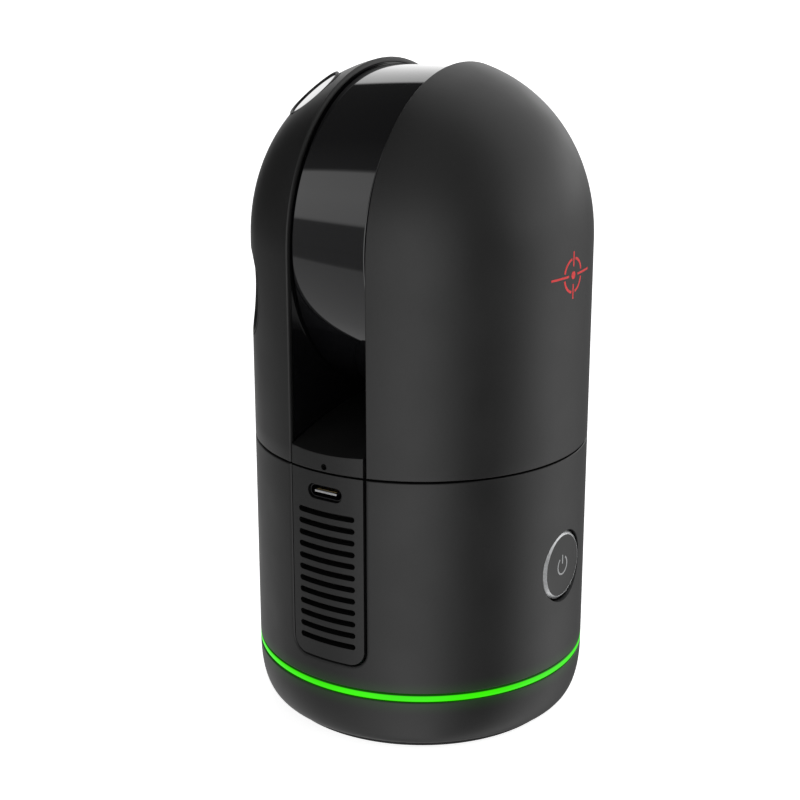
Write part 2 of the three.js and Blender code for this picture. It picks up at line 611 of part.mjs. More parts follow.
// The spindle carries a block cut at 45 degrees, and the mirror is a plate on the cut face.
const MIRROR_R = 8.2;
function slanted(low, high) {
  const slab = new THREE.BoxGeometry(60, 60, high - low);
  slab.translate(0, 0, (low + high) / 2);
  slab.rotateY(-Math.PI / 4);
  slab.translate(...atMirror);
  return solid(slab);
}
const mirrorBlock = rod(MIRROR_R, -8.6, 8.6, MEDIUM, ALONG_X, atMirror).intersect(slanted(-30, -1.6));
const spindle = rod(3, 6, 28, MEDIUM, ALONG_X, atMirror);
piece(turret, 'mirror_spindle', join(mirrorBlock, spindle), ALUMINIUM);
piece(turret, 'scan_mirror', rod(MIRROR_R, -8.6, 8.6, MEDIUM, ALONG_X, atMirror)
  .intersect(slanted(-1.3, -0.3)), MIRROR);
piece(turret, 'mirror_motor_magnet', ring(3.4, 8.4, 15.4, 20.6, MEDIUM, ALONG_X, atMirror), STEEL);

export default scanner;
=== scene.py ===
"""Looks of the compact laser scanner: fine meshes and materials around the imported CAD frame.

Outlines and places below are in millimetres in the CAD model's own frame, and MM turns them into
metres as each mesh is made. The sizes that the frame can tell are read from it.
"""
import json
import math

import bmesh
import bpy
from mathutils import Matrix, Vector


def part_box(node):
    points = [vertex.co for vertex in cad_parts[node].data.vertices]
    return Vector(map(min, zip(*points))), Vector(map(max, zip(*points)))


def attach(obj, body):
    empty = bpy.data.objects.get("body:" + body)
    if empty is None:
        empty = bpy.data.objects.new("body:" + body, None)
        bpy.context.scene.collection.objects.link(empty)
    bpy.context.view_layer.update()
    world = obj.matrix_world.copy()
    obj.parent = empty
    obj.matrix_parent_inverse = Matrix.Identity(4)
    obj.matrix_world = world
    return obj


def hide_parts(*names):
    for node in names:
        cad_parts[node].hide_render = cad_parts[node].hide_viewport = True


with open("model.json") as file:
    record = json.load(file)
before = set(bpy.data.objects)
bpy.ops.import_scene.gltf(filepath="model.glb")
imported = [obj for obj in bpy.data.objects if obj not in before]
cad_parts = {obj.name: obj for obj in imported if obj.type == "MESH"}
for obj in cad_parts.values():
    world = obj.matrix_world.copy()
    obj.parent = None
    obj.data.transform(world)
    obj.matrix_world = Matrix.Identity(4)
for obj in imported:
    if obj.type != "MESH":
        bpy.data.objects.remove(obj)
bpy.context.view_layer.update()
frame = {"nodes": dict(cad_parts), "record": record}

MM = 0.001
SIDES = 240                    # sides of the large round surfaces
SMALL_SIDES = 96               # sides of the small ones
OVERCUT = 5.0                  # how far a cutting tool goes past what it cuts
OUTSIDE = 60.0                 # further out than any part of the scanner


def box_mm(node):
    """Lowest and highest corners of a CAD node, in millimetres."""
    low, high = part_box(node)
    return low / MM, high / MM


# ---- Sizes, from the frame where it has them ------------------------------------------------
shell_low, shell_high = box_mm("base_shell")
ring_low, ring_high = box_mm("led_ring")
foot_low, foot_high = box_mm("foot_shell")
floor_low, floor_high = box_mm("slot_floor")
window_low, window_high = box_mm("scan_window")
button_low, button_high = box_mm("power_button")
panel_low, panel_high = box_mm("vent_panel")
liner_low, liner_high = box_mm("right_slot_liner")
pod_low = box_mm("right_pod_shell")[0]
usb_low, usb_high = box_mm("usb_c_port")
pad_high = box_mm("foot_pad")[1]
door_low, door_high = box_mm("battery_door")

R = shell_high.x               # outer radius of the casing
SLOT_HALF = pod_low.x          # half the width of the slot
MIRROR_Z = (window_low.z + window_high.z) / 2   # of the mirror's axis
WINDOW_R = window_high.y
USB_Z = (usb_low.z + usb_high.z) / 2
BUTTON_Z = (button_low.z + button_high.z) / 2

# Casing
EDGE = 0.3                     # rounding along the seams
CLEARANCE = 0.3                # round the pad and the battery door
SEAM = 0.2                     # gap beside the light guide
WALL = 2.4                     # of the base shell, and of the pods beside the slot
DOME_Z = 114.0                 # where the straight sides end
DOME_H = 41.85                 # from there to the top, if the slot weren't there
DOME_POWER = 2.1               # of the dome's superellipse

# Foot
FOOT_FLAT_R = 35.7             # where its underside starts to curve up
FOOT_POWER = 2.23              # of that curve's superellipse
FOOT_PLATE_Z = 3.6             # top of its floor
INSERT_BORE_R = 6.6            # hole for the tripod insert
INSERT_BOSS_R = 8.8
INSERT_BOSS_Z = 9.0
COLLAR_INNER_R = 35.0          # collar that goes up into the base shell
COLLAR_OUTER_R = 37.1
COLLAR_ROOT = (33.4, 7.0)      # slope inside it: radius at the foot's floor, height at the collar
DOORWAY_TOP = 8
DOOR_SWING = 1.1               # room that the door's hinge edge turns in
PAD_INNER_R = 33.0
PAD_EDGE = 0.3

# Light guide
RING_INNER_R = 37.4
RING_CROWN = 0.36              # depth of the curve across its face
RING_PAINTED_SHADE_EDGE = 0.3           # height of its upper edge, where the glow is turned down as painted shade of the recess above it
PAINTED_GLOW_REACH = 4.5               # how far the glow painted onto the casing beside it reaches

# Base
DECK_R = 13.0                  # hole in the deck on top of the base
DECK_Z = 64.2                  # underside of the deck
PANEL_GAP = 0.4                # round the vent panel
PANEL_CORNER = 4.0
PANEL_INNER_R = 37.9
OPENING_EDGE = 0.7             # rounding of the casing beside the vent panel
VENT_TOP = 57.0
VENT_PITCH = 2.824
VENT_COUNT = 12
VENT_WIDTH = 15.4
VENT_HEIGHT = 1.4
USB_HOLE = (9.4, 3.6)
USB_SHELL = (8.94, 3.16)
USB_ROOM = (8.34, 2.56)        # inside of the socket's shell
CONTACT_COUNT = 12
CONTACT_PITCH = 0.45
CONTACT_HALF = 0.13
CONTACT_SPAN = (0.7, 5.0)      # from the tongue's outer end
CONTACT_SINK, CONTACT_RAISE = 0.02, 0.04
TONGUE_HALF = (3.0, 0.27)      # half the width and thickness of the socket's tongue
TONGUE_Y = -39.5               # its outer end

# Power button
BUTTON_R = 8.2
BUTTON_BEVEL = 0.65
BUTTON_HOLE_R = 8.7
SLEEVE_R = 10.0                # sleeve inside the casing, round the button
SLEEVE_X = (33.0, 38.5)
RIM_INNER_R = 7.0              # of the button's bright rim
RIM_BACK = 33.0
CAP_FLANGE = (31.7, 32.6, 9.3)  # back, front and radius of the flange behind the cap
CAP_STEM_R = 6.9
CAP_LIP = 0.18                 # thickness of the cap where it overlaps the rim
CAP_EDGE = 0.06
SIGN_RAISE = 0.02              # how far the power sign stands out of the cap
SIGN_DEPTH = 0.3
SIGN_R = (1.95, 2.35)
SIGN_BAR_HALF = 0.2
SIGN_BAR_SPAN = (0.4, 2.6)     # above the sign's centre

# Turret
POD_EDGE = 0.9                 # rounding of a pod's edge along the slot
POD_WALL = 2.2
LINER_INSET = 1.1
LINER_GAP = 0.2
LINER_RECESS = 0.8             # depth of the recess that a liner lies in
LIP_Z = 71.4                   # height of the slot floor near its front and back lips
LIP_Y = 39.57                  # how far out it has that height
FLOOR_POWER = 2.3              # of the curve from its middle to a lip
PINHOLE_R = 0.75
PINHOLE_Z = 68.3
WINDOW_WALL = 1.5
WINDOW_EDGE = 0.35
LASER_HOLE_R = 6.4             # in the right pod, on the mirror's axis
SPINDLE_HOLE_R = 7.4           # in the left pod
HUB_R, HUB_TOP = 14.8, 74.6    # room for the hub under the slot
PLATE_R, PLATE_TOP = 37.6, 69.9  # and for the turntable
ROOM_BOTTOM = 50.0

# Cameras: lower and upper, on the front and the rear of the left pod
LOWER_TURN = math.radians(40)  # round from -X
LOWER_Z = 102.3
UPPER_TURN = math.radians(35)
UPPER_FACE = math.radians(6)   # how much further round an upper camera's window faces
UPPER_TILT = math.radians(50)
UPPER_R, UPPER_Z = 24.5, 146.9
CAMERA_DEPTH = 9               # how far a camera's hole goes, in and out
HOLE_R = {"lower": 10.7, "upper": 7.55}
GLASS = {"lower": (6.1, -4.9, -3.9), "upper": (6.45, -1.6, 0.3)}  # radius, back and front
GLASS_EDGE = 0.12
BEZELS = {                     # (radius, height) pairs in the camera's own frame
    "lower": [(6.4, -4.6), (10.4, -4.6), (10.4, 4), (10.3, 4), (10.3, 0.2), (9.9, -0.6),
              (8.2, -2.4), (6.9, -3.4), (6.4, -3.7)],
    "upper": [(6.5, -2.4), (7.25, -2.4), (7.25, 0.4), (7.13, 0.52), (6.6, 0.52), (6.5, 0.42)],
}

# Survey target on the right pod
MARK_Z = 109.5
MARK_ARC = (3.5, 3.8, 4.1)     # radii across an arc
MARK_GAP = 12                  # degrees from a line to the arc beside it
MARK_LINE_START = 2.0
MARK_REACH = (8.6, 5.4)        # of the level lines and of the upright ones
MARK_LINE_HALF = 0.25
MARK_DOT_R = 0.9
MARK_RAISE = 0.02
MARK_DEPTH = 0.15

ALONG_X = Matrix.Rotation(math.radians(90), 4, "Y")
ALONG_Y = Matrix.Rotation(math.radians(90), 4, "X")


# ---- Mesh helpers ---------------------------------------------------------------------------
def make_object(name, points, faces, matrix=None):
    """A mesh object from points in millimetres."""
    if matrix is not None:
        points = [matrix @ Vector(p) for p in points]
    mesh = bpy.data.meshes.new(name)
    mesh.from_pydata([Vector(p) * MM for p in points], [], faces)
    mesh.validate()
    obj = bpy.data.objects.new(name, mesh)
    bpy.context.scene.collection.objects.link(obj)
    return obj


def face_out(obj):
    """Turns a closed mesh's faces outwards, by the sign of its volume."""
    mesh = bmesh.new()
    mesh.from_mesh(obj.data)
    bmesh.ops.recalc_face_normals(mesh, faces=mesh.faces)
    if mesh.calc_volume(signed=True) < 0:
        bmesh.ops.reverse_faces(mesh, faces=mesh.faces)
    mesh.to_mesh(obj.data)
    mesh.free()


def lathe(name, profile, sides=SIDES, closed=False, matrix=None):
    """Revolves (radius, height) pairs about Z. An open profile starts and ends on the axis."""
    points = []
    rings = []
    for r, z in profile:
        count = 1 if r == 0 else sides
        rings.append([len(points) + k for k in range(count)])
        for k in range(count):
            angle = 2 * math.pi * k / sides
            points.append((r * math.cos(angle), r * math.sin(angle), z))
    pairs = list(zip(rings, rings[1:]))
    if closed:
        pairs.append((rings[-1], rings[0]))
    faces = []
    for low, high in pairs:
        for k in range(sides):
            n = (k + 1) % sides
            if len(low) == 1 and len(high) == 1:
                break
            if len(low) == 1:
                faces.append((low[0], high[n], high[k]))
            elif len(high) == 1:
                faces.append((low[k], low[n], high[0]))
            else:
                faces.append((low[k], low[n], high[n], high[k]))
    obj = make_object(name, points, faces, matrix)
    face_out(obj)
    return obj


def rod(name, r, low, high, sides=SMALL_SIDES, matrix=None):
    """A cylinder from one height to another."""
    return lathe(name, [(0, low), (r, low), (r, high), (0, high)], sides, False, matrix)


def tube(name, inner, outer, low, high, sides=SIDES, matrix=None):
    """A ring of rectangular section."""
    profile = [(inner, low), (outer, low), (outer, high), (inner, high)]
    return lathe(name, profile, sides, True, matrix)


def loft(name, rings):
    """Joins rings of points, each as long as the last, and closes both ends."""
    count = len(rings[0])
    points = [p for ring in rings for p in ring]
    faces = [tuple(reversed(range(count)))]
    for i in range(len(rings) - 1):
        here, there = i * count, (i + 1) * count
        for k in range(count):
            n = (k + 1) % count
            faces.append((here + k, here + n, there + n, there + k))
    faces.append(tuple(range((len(rings) - 1) * count, len(rings) * count)))
    obj = make_object(name, points, faces)
    face_out(obj)
    return obj


def block(name, low, high):
    """A box between two opposite corners."""
    (x0, x1), (y0, y1), (z0, z1) = (sorted(pair) for pair in zip(low, high))
    ring = [(x0, y0), (x1, y0), (x1, y1), (x0, y1)]
    return loft(name, [[(x, y, z) for x, y in ring] for z in (z0, z1)])


def prism_xz(name, outline, y0, y1):
    """A prism along Y from an outline of (x, z) pairs."""
    return loft(name, [[(x, y, z) for x, z in outline] for y in (y0, y1)])


def prism_yz(name, outline, x0, x1):
    """A prism along X from an outline of (y, z) pairs."""
    return loft(name, [[(x, y, z) for y, z in outline] for x in (x0, x1)])


def bake(obj):
    """Applies the object's modifiers to its mesh."""
    graph = bpy.context.evaluated_depsgraph_get()
    graph.update()
    mesh = bpy.data.meshes.new_from_object(obj.evaluated_get(graph))
    obj.modifiers.clear()
    obj.data = mesh


def combine(target, tool, operation):
    """Joins, cuts or intersects target with tool, and deletes tool."""
    modifier = target.modifiers.new("boolean", "BOOLEAN")
    modifier.operation = operation
    modifier.solver = "MANIFOLD"
    modifier.object = tool
    bake(target)
    bpy.data.objects.remove(tool)
    return target


def cut(target, *tools):
    for tool in tools:
        combine(target, tool, "DIFFERENCE")
    return target


def keep(target, tool):
    return combine(target, tool, "INTERSECT")


def add(target, tool):
    return combine(target, tool, "UNION")


def soften(obj, width=0.0, segments=2, angle=35):
    """Rounds the sharp edges by width millimetres and shades the rest smooth."""
    if width:
        modifier = obj.modifiers.new("bevel", "BEVEL")
        modifier.width = width * MM
        modifier.segments = segments
        modifier.limit_method = "ANGLE"
        modifier.angle_limit = math.radians(angle)
        modifier.use_clamp_overlap = True
        bake(obj)
    obj.data.shade_smooth()
    obj.data.set_sharp_from_angle(angle=math.radians(angle))
    if width:
        modifier = obj.modifiers.new("normals", "WEIGHTED_NORMAL")
        modifier.keep_sharp = True
        bake(obj)
    return obj


# ---- Outlines -------------------------------------------------------------------------------
def quarter(width, height, power, steps):
    """Points of a quarter superellipse, from (width, 0) to (0, height)."""
    points = []
    for i in range(steps + 1):
        angle = math.pi / 2 * i / steps
        across = 0.0 if i == steps else math.cos(angle) ** (2 / power)
        points.append((width * across, height * math.sin(angle) ** (2 / power)))
    return points


def arc(cx, cy, r, start, end, steps):
    """Points of a circular arc, in degrees."""
    angles = [math.radians(start + (end - start) * i / steps) for i in range(steps + 1)]
    return [(cx + r * math.cos(a), cy + r * math.sin(a)) for a in angles]


def stadium(cx, cz, width, height, steps=12):
    """Outline of a slot with round ends."""
    r = height / 2
    reach = width / 2 - r
    return arc(cx + reach, cz, r, -90, 90, steps) + arc(cx - reach, cz, r, 90, 270, steps)


def upright(r, low, high, spacing=3.5):
    """Points spaced up a straight side, so that a cut near it leaves no long thin faces."""
    steps = max(2, round((high - low) / spacing))
    return [(r, low + (high - low) * i / steps) for i in range(1, steps)]


# ---- Materials ------------------------------------------------------------------------------
class Nodes:
    """A node tree under construction, and short ways to add to it."""

    def __init__(self, tree):
        self.nodes = tree.nodes
        self.links = tree.links

    def feed(self, socket, value):
        """Sets a socket to a number, or links another node's output to it."""
        if isinstance(value, (int, float)):
            socket.default_value = value
        else:
            self.links.new(value, socket)

    def calculate(self, operation, *values):
        node = self.nodes.new("ShaderNodeMath")
        node.operation = operation
        for socket, value in zip(node.inputs, values):
            self.feed(socket, value)
        return node.outputs[0]

    def between(self, value, start, end, low=0.0, high=1.0):
        """low where the value is under start, high where it is over end, and smooth between."""
        node = self.nodes.new("ShaderNodeMapRange")
        node.interpolation_type = "SMOOTHSTEP"
        for socket, number in (("From Min", start), ("From Max", end),
                               ("To Min", low), ("To Max", high)):
            node.inputs[socket].default_value = number
        self.links.new(value, node.inputs["Value"])
        return node.outputs["Result"]

    def blend(self, factor, a, b):
        """a where the factor is 0, and b where it is 1."""
        node = self.nodes.new("ShaderNodeMix")
        for name, value in (("Factor", factor), ("A", a), ("B", b)):
            self.feed(node.inputs[name], value)
        return node.outputs[0]

    def colors(self, value, stops):
        """Turns a value into a colour between the stops, each (position, colour)."""
        node = self.nodes.new("ShaderNodeValToRGB")
        elements = node.color_ramp.elements
        while len(elements) < len(stops):
            elements.new(0.5)
        for element, (position, color) in zip(elements, stops):
            element.position = position
            element.color = (*color, 1.0)
        self.links.new(value, node.inputs["Fac"])
        return node.outputs["Color"]

    def split(self, vector):
        """The X, Y and Z of a vector."""
        node = self.nodes.new("ShaderNodeSeparateXYZ")
        self.links.new(vector, node.inputs[0])
        return tuple(node.outputs)


class Look(Nodes):
    """A material under construction: a principled shader and what feeds it."""

    def __init__(self, name, color, roughness, metallic=0.0, **sockets):
        self.material = bpy.data.materials.new(name)
        self.material.use_nodes = True
        super().__init__(self.material.node_tree)
        self.shader = self.nodes["Principled BSDF"]
        self.set("Base Color", (*color, 1.0))
        self.set("Roughness", roughness)
        self.set("Metallic", metallic)
        for socket, value in sockets.items():
            self.set(socket.replace("_", " "), value)
        self.place = self.nodes.new("ShaderNodeTexCoord").outputs["Object"]

    def set(self, socket, value):
        self.shader.inputs[socket].default_value = value

    def link(self, output, socket):
        self.links.new(output, self.shader.inputs[socket])

    def stretched(self, scale):
        """Object coordinates multiplied by a scale for each axis."""
        mapping = self.nodes.new("ShaderNodeMapping")
        mapping.inputs["Scale"].default_value = scale
        self.links.new(self.place, mapping.inputs["Vector"])
        return mapping.outputs["Vector"]

    def noise(self, scale, detail=3.0, vector=None):
        node = self.nodes.new("ShaderNodeTexNoise")
        node.inputs["Scale"].default_value = scale
        node.inputs["Detail"].default_value = detail
        self.links.new(vector or self.place, node.inputs["Vector"])
        return node.outputs["Fac"]

    def spread(self, noise, low, high):
        """Spreads the middle of a noise between two numbers."""
        return self.between(noise, 0.3, 0.7, low, high)

    def tint(self, noise, color, low, high):
        """Varies the base colour with a noise, between two multiples of it."""
        stops = [(0.3, shade(color, low)), (0.7, shade(color, high))]
        self.link(self.colors(noise, stops), "Base Color")

    def bump(self, height, strength, distance):
        node = self.nodes.new("ShaderNodeBump")
        node.inputs["Strength"].default_value = strength
        node.inputs["Distance"].default_value = distance * MM
        self.links.new(height, node.inputs["Height"])
        self.link(node.outputs["Normal"], "Normal")


def shade(color, factor):
    return tuple(min(1.0, c * factor) for c in color)


def moulded(name, color, roughness, grain=2600.0, depth=0.012, spread=0.06, **sockets):
    """Moulded plastic: a fine grain in the surface, and slight changes of colour and gloss."""
    look = Look(name, color, roughness, **sockets)
    patches = look.noise(60.0)
    look.link(look.spread(patches, roughness - spread, roughness + spread), "Roughness")
    look.tint(look.noise(grain / 2), color, 0.86, 1.14)
    look.bump(look.noise(grain, 2.0), 0.35, depth)
    return look


def metal(name, color, roughness, direction=(1.0, 1.0, 14.0)):
    """Machined metal: fine lines along the cut, and roughness that follows them."""
    look = Look(name, color, roughness, 1.0)
    lines = look.noise(420.0, 4.0, look.stretched(direction))
    look.link(look.spread(lines, roughness - 0.08, roughness + 0.1), "Roughness")
    look.tint(lines, color, 0.9, 1.06)
    look.bump(lines, 0.15, 0.01)
    return look


CASING_BLACK = (0.006, 0.006, 0.006)
CASING_GRAIN = 3400.0
LED_GREEN = (0.048, 0.95, 0.0)
BOARD_GREEN = (0.012, 0.075, 0.04)


def casing(name="casing_coating"):
    return moulded(name, CASING_BLACK, 0.43, grain=CASING_GRAIN, depth=0.014, spread=0.03)


def button_face():
    return moulded("button_plastic", CASING_BLACK, 0.41, grain=CASING_GRAIN, depth=0.01,
                   spread=0.03)


def bezel():
    return moulded("bezel_plastic", CASING_BLACK, 0.5, depth=0.01)


def black_plastic():
    return moulded("black_plastic", (0.010, 0.010, 0.010), 0.55)


def rubber():
    return moulded("rubber", (0.012, 0.012, 0.012), 0.85, grain=1500.0, depth=0.04)


def battery_case():
    return moulded("battery_wrap", (0.03, 0.035, 0.045), 0.4, grain=900.0)


def filter_foam():
    return moulded("filter_foam", (0.002, 0.002, 0.002), 0.95, grain=900.0, depth=0.15)


def mark_red():
    return moulded("mark_ink", (0.62, 0.010, 0.012), 0.45, depth=0.004)


def icon_grey():
    return moulded("icon_ink", (0.30, 0.305, 0.31), 0.5, depth=0.004)


def rim_metal():
    return moulded("button_ring_metal", (0.78, 0.79, 0.80), 0.46, grain=3000.0, depth=0.003,
                   spread=0.02, Metallic=1.0)


def steel():
    return metal("ground_steel", (0.58, 0.585, 0.6), 0.26)


def aluminium():
    return metal("machined_aluminium", (0.72, 0.725, 0.735), 0.34)


def brass():
    return metal("turned_brass", (0.66, 0.48, 0.2), 0.28)


def copper():
    return metal("copper_winding", (0.55, 0.24, 0.12), 0.35, (14.0, 14.0, 1.0))


def port_shell():
    return metal("port_shell_metal", (0.05, 0.05, 0.052), 0.35)


def gloss_black():
    look = Look("gloss_black", (0.0035, 0.0035, 0.004), 0.04, Coat_Weight=0.6,
                Coat_Roughness=0.02)
    look.link(look.spread(look.noise(35.0, 5.0), 0.03, 0.06), "Roughness")
    look.bump(look.noise(18.0, 1.0), 0.05, 0.05)
    return look


def window_black():
    look = Look("scan_window_glass", (0.003, 0.003, 0.0035), 0.05, Coat_Weight=1.0,
                Coat_Roughness=0.015)
    look.link(look.spread(look.noise(25.0, 6.0), 0.04, 0.07), "Roughness")
    return look


def lens_glass():
    """Coated lens glass: black from the front, with a faint violet sheen painted into its colour
    towards the rim.
    """
    look = Look("coated_lens", (0.004, 0.004, 0.006), 0.03, Coat_Weight=1.0,
                Coat_Roughness=0.01)
    # Painted sheen: the base colour turns from black to violet as the surface turns away from the
    # view.
    weight = look.nodes.new("ShaderNodeLayerWeight")
    weight.inputs["Blend"].default_value = 0.35
    stops = [(0.0, (0.004, 0.004, 0.007)), (0.6, (0.012, 0.008, 0.022))]
    look.link(look.colors(weight.outputs["Facing"], stops), "Base Color")
    look.link(look.spread(look.noise(80.0), 0.02, 0.045), "Roughness")
    return look


def mirror():
    look = Look("mirror_coating", (0.93, 0.94, 0.95), 0.02, 1.0)
    look.link(look.spread(look.noise(50.0), 0.015, 0.03), "Roughness")
    return look


def circuit_board():
    look = Look("circuit_board", BOARD_GREEN, 0.32, Coat_Weight=0.4)
    cells = look.nodes.new("ShaderNodeTexBrick")
    cells.inputs["Scale"].default_value = 260.0
    for socket, factor in (("Color1", 1.0), ("Color2", 1.5), ("Mortar", 2.4)):
        cells.inputs[socket].default_value = (*shade(BOARD_GREEN, factor), 1.0)
    look.links.new(look.stretched((1.0, 1.0, 0.6)), cells.inputs["Vector"])
    look.link(cells.outputs["Color"], "Base Color")
    look.bump(cells.outputs["Fac"], 0.3, 0.03)
    return look


def led():
    """The light guide: lit from inside, a little brighter over each lamp, with painted shade along
    its upper edge where its glow is turned down.
    """
    look = Look("led_light_guide", (0.0, 0.004, 0.0), 0.35, Specular_IOR_Level=0.2)
    look.set("Emission Color", (*LED_GREEN, 1.0))
    height = look.split(look.place)[2]
    # Painted shade: above this height the glow drops to 0.07 of its strength, standing in for the
    # recess's shadow.
    edge = (ring_high.z - RING_PAINTED_SHADE_EDGE) * MM
    lit = look.between(height, edge - 0.15 * MM, edge + 0.1 * MM, 1.0, 0.07)
    lamps = look.spread(look.noise(70.0, 1.0), 0.88, 0.98)
    look.link(look.calculate("MULTIPLY", lamps, lit), "Emission Strength")
    return look


def casing_with_painted_glow():
    """The casing's coating, with a faint green glow painted on it beside the light guide."""
    look = casing("casing_coating_painted_glow")
    look.set("Emission Color", (*LED_GREEN, 1.0))
    height = look.split(look.place)[2]
    middle = (ring_low.z + ring_high.z) / 2 * MM
    away = look.calculate("ABSOLUTE", look.calculate("SUBTRACT", height, middle))
    # Painted light: green emission on the casing, fading out above and below the ring's middle.
    look.link(look.between(away, 0.6 * MM, PAINTED_GLOW_REACH * MM, 0.022, 0.0), "Emission Strength")
    return look


SLOT_LOOKS = {
    "casing": casing, "button": button_face, "bezel": bezel, "gloss_black": gloss_black,
    "rubber": rubber, "led": led, "brass": brass, "circuit_board": circuit_board,
    "battery_case": battery_case, "black_plastic": black_plastic, "steel": steel,
    "aluminium": aluminium, "copper": copper, "lens_glass": lens_glass, "mirror": mirror,
}
looks = {slot: make().material for slot, make in SLOT_LOOKS.items()}
window_look = window_black().material
rim_look = rim_metal().material
shell_look = port_shell().material
filter_look = filter_foam().material
mark_look = mark_red().material
icon_look = icon_grey().material
# The foot and base shell wear this casing, with the green glow painted on it.
painted_glow_casing_look = casing_with_painted_glow().material


def dress(obj, body, slot, look=None, stands_for=None):
    """Gives a new piece its material, the slot's look unless another is given, and its body, and
    hides the CAD node it stands for.
    """
    obj.data.materials.clear()
    obj.data.materials.append(look or looks[slot])
    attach(obj, body)
    if stands_for:
        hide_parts(stands_for)
    return obj


# ---- Camera ---------------------------------------------------------------------------------
def make_camera():
    """The photograph's view: 33 degrees round from the slot's front, looking 17 degrees down."""
    distance, height, turn = 377.27, 188.47, math.radians(32.84)
    down, aim = math.radians(16.906), math.radians(33.626)
    camera = bpy.data.cameras.new("camera")
    camera.sensor_width = 36.0
    camera.lens = 73.55
    obj = bpy.data.objects.new("camera", camera)
    bpy.context.scene.collection.objects.link(obj)
    obj.location = Vector((distance * math.sin(turn), -distance * math.cos(turn), height)) * MM
    obj.rotation_euler = (math.pi / 2 - down, 0.0, aim)
    bpy.context.scene.camera = obj


make_camera()


# ---- Base -----------------------------------------------------------------------------------
def make_foot():
    corner = quarter(R - FOOT_FLAT_R, ring_low.z - foot_low.z, FOOT_POWER, 40)
    outside = [(FOOT_FLAT_R + across, ring_low.z - drop) for across, drop in reversed(corner)]
    top = ring_low.z - SEAM
    outside = [p for p in outside if p[1] < top - EDGE]
    groove_inner, groove_outer = PAD_INNER_R - CLEARANCE, pad_high.x + 0.2
    groove_top = pad_high.z + CLEARANCE
    root_r, root_z = COLLAR_ROOT
    foot = lathe("foot_casing", [
        (INSERT_BORE_R, foot_low.z), (groove_inner, foot_low.z), (groove_inner, groove_top),
        (groove_outer, groove_top), (groove_outer, foot_low.z),
        *outside, *arc(R - EDGE, top - EDGE, EDGE, 0, 90, 4),
        (COLLAR_OUTER_R, top), (COLLAR_OUTER_R, foot_high.z), (COLLAR_INNER_R, foot_high.z),
        (COLLAR_INNER_R, root_z), (root_r, FOOT_PLATE_Z), (INSERT_BOSS_R, FOOT_PLATE_Z),
        (INSERT_BOSS_R, INSERT_BOSS_Z), (INSERT_BORE_R, INSERT_BOSS_Z),
    ], closed=True)
    near = (door_low.x - CLEARANCE, door_low.y - CLEARANCE, 0)
    far = (door_high.x + CLEARANCE, door_high.y + DOOR_SWING, DOORWAY_TOP)
    cut(foot, block("doorway", near, far))
    dress(soften(foot), "base", "casing", painted_glow_casing_look, stands_for="foot_shell")


def make_pad():
    pad = lathe("rubber_pad", [
        (PAD_INNER_R, pad_high.z), (PAD_INNER_R, PAD_EDGE), (PAD_INNER_R + PAD_EDGE, 0.0),
        (pad_high.x - PAD_EDGE, 0.0), (pad_high.x, PAD_EDGE), (pad_high.x, pad_high.z),
    ], closed=True)
    dress(soften(pad), "base", "rubber", stands_for="foot_pad")


def make_led_ring():
    """The light guide's outer face is a shallow curve from edge to edge."""
    middle = (ring_low.z + ring_high.z) / 2
    half = (ring_high.z - ring_low.z) / 2
    face = []
    for degrees in range(-90, 91, 15):
        angle = math.radians(degrees)
        face.append((R - RING_CROWN * (1 - math.cos(angle)), middle + half * math.sin(angle)))
    profile = [(RING_INNER_R, ring_low.z), *face, (RING_INNER_R, ring_high.z)]
    ring = soften(lathe("led_light_guide", profile, closed=True))
    dress(ring, "base", "led", stands_for="led_ring")


def panel_outline(half, bottom, top, radius):
    """Vent panel outline as (x, z) pairs, with two round lower corners."""
    reach = half - radius
    return (arc(-reach, bottom + radius, radius, 180, 270, 16)
            + [(reach * (i / 4 - 1), bottom) for i in range(1, 8)]
            + arc(reach, bottom + radius, radius, 270, 360, 16)
            + [(half, top), (-half, top)])


def opening_tool(inner):
    """Cuts the vent panel's opening, with a rounded edge all along it."""
    steps = [(inner, 0.0)]
    for i in range(7):
        angle = math.pi / 2 * i / 6
        steps.append((R - OPENING_EDGE * (1 - math.sin(angle)),
                      OPENING_EDGE * (1 - math.cos(angle))))
    steps.append((R + 2, OPENING_EDGE))
    rings = []
    for radius, offset in steps:
        outline = panel_outline(SLOT_HALF + offset, panel_low.z - PANEL_GAP - offset,
                                shell_high.z + OVERCUT, PANEL_CORNER + offset)
        rings.append([(x, -math.sqrt(radius ** 2 - x ** 2), z) for x, z in outline])
    return loft("opening", rings)


def make_base_shell():
    inner = R - WALL
    shell = lathe("base_casing", [
        (inner, shell_low.z), *arc(R - EDGE, shell_low.z + EDGE, EDGE, -90, 0, 4),
        *upright(R, shell_low.z + EDGE, shell_high.z - EDGE),
        *arc(R - EDGE, shell_high.z - EDGE, EDGE, 0, 90, 4),
        (DECK_R, shell_high.z), (DECK_R, DECK_Z), (inner, DECK_Z),
    ], closed=True)
    place = Matrix.Translation((0, 0, BUTTON_Z)) @ ALONG_X
    add(shell, tube("sleeve", BUTTON_HOLE_R - 0.5, SLEEVE_R, *SLEEVE_X, SMALL_SIDES, place))
    cut(shell, rod("hole", BUTTON_HOLE_R, SLEEVE_X[0] - 3, R + OVERCUT, matrix=place),
        opening_tool(inner))
    soften(shell, 0.22, 3, 40)
    dress(shell, "base", "casing", painted_glow_casing_look, stands_for="base_shell")


